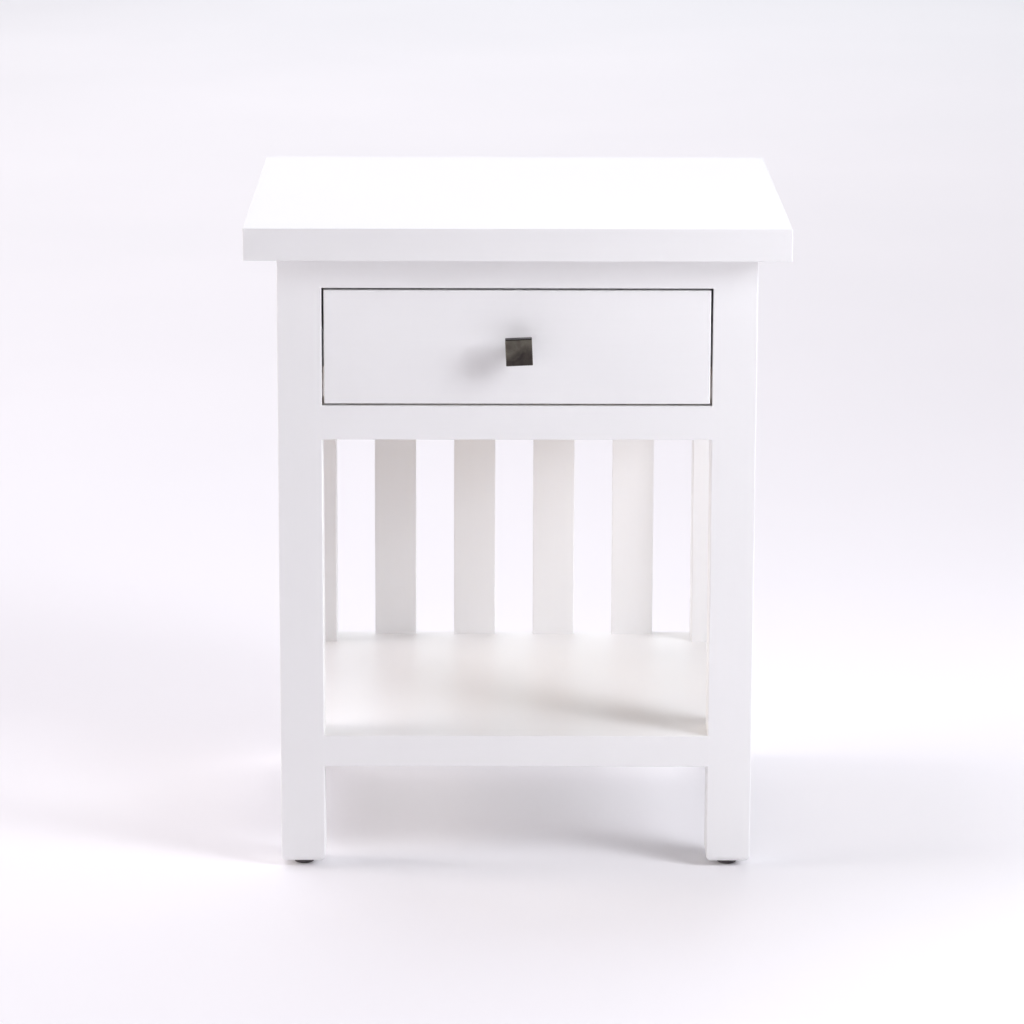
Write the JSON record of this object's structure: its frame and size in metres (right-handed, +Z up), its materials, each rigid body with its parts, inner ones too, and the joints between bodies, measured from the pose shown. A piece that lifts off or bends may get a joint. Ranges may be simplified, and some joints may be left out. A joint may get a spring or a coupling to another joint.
{
  "type": "side table with drawer",
  "caption": "White painted side table with an inset drawer on ball-bearing slides, a square bronze knob, an open lower shelf and an upright slatted back.",
  "frame": {"origin": "on the floor under the centre of the table top's outline, at the glides' undersides", "axes": "+Z up, the drawer front faces -Y, +X to the right seen from the front"},
  "size_m": [0.5, 0.45, 0.615],
  "materials": {
    "white_paint": "satin white paint over wood, brushed and rubbed down",
    "bronze": "dark antique bronze, mottled, soft sheen",
    "dark_plastic": "dark moulded plastic",
    "drawer_wood": "clear lacquered pale hardwood",
    "drawer_ply": "clear lacquered birch plywood",
    "bare_wood": "unfinished planed softwood",
    "dowel_wood": "plain beech",
    "slide_steel": "zinc plated rolled steel",
    "bearing_steel": "polished steel balls",
    "zinc_steel": "bright zinc plate",
    "bumper_rubber": "moulded black rubber"
  },
  "bodies": {
    "carcass": {"cleat_screws": "zinc_steel", "front_lower_rail": "white_paint", "front_top_rail": "white_paint", "glide_front_left": "dark_plastic", "glide_front_right": "dark_plastic", "glide_nails": "zinc_steel", "glide_rear_left": "dark_plastic", "glide_rear_right": "dark_plastic", "leg_front_left": "white_paint", "leg_front_right": "white_paint", "leg_rear_left": "white_paint", "leg_rear_right": "white_paint", "packer_screws": "zinc_steel", "rear_apron": "white_paint", "rear_slat_1": "white_paint", "rear_slat_2": "white_paint", "rear_slat_3": "white_paint", "rear_slat_4": "white_paint", "shelf": "white_paint", "shelf_dowels": "dowel_wood", "side_apron_left": "white_paint", "side_apron_right": "white_paint", "slat_pins": "zinc_steel", "slide_bumpers": "bumper_rubber", "slide_outer_left": "slide_steel", "slide_outer_right": "slide_steel", "slide_outer_screws": "zinc_steel", "slide_packer_left": "bare_wood", "slide_packer_right": "bare_wood", "table_top": "white_paint", "top_cleat_left": "bare_wood", "top_cleat_rear": "bare_wood", "top_cleat_right": "bare_wood", "top_screws": "zinc_steel"},
    "drawer": {"drawer_back": "drawer_wood", "drawer_bottom": "drawer_ply", "drawer_box_front": "drawer_wood", "drawer_dowels": "dowel_wood", "drawer_face": "white_paint", "drawer_side_left": "drawer_wood", "drawer_side_right": "drawer_wood", "face_screws": "zinc_steel", "knob": "bronze", "knob_screw": "zinc_steel", "knob_washer": "zinc_steel", "slide_inner_left": "slide_steel", "slide_inner_right": "slide_steel", "slide_inner_screws": "zinc_steel"},
    "ball_cage_left": {"ball_cage_left": "slide_steel", "slide_balls_left": "bearing_steel"},
    "ball_cage_right": {"ball_cage_right": "slide_steel", "slide_balls_right": "bearing_steel"}
  },
  "joints": [
    {"name": "drawer_slide", "type": "slide", "parent": "carcass", "child": "drawer", "axis": [0, -1, 0], "range_m": [0, 0.225]},
    {"name": "cage_left_slide", "type": "slide", "parent": "carcass", "child": "ball_cage_left", "axis": [0, -1, 0], "range_m": [0, 0.1125]},
    {"name": "cage_right_slide", "type": "slide", "parent": "carcass", "child": "ball_cage_right", "axis": [0, -1, 0], "range_m": [0, 0.1125]}
  ],
  "couplings": [
    {"joint": "cage_left_slide", "follows": "drawer_slide", "ratio": 0.5},
    {"joint": "cage_right_slide", "follows": "drawer_slide", "ratio": 0.5}
  ]
}
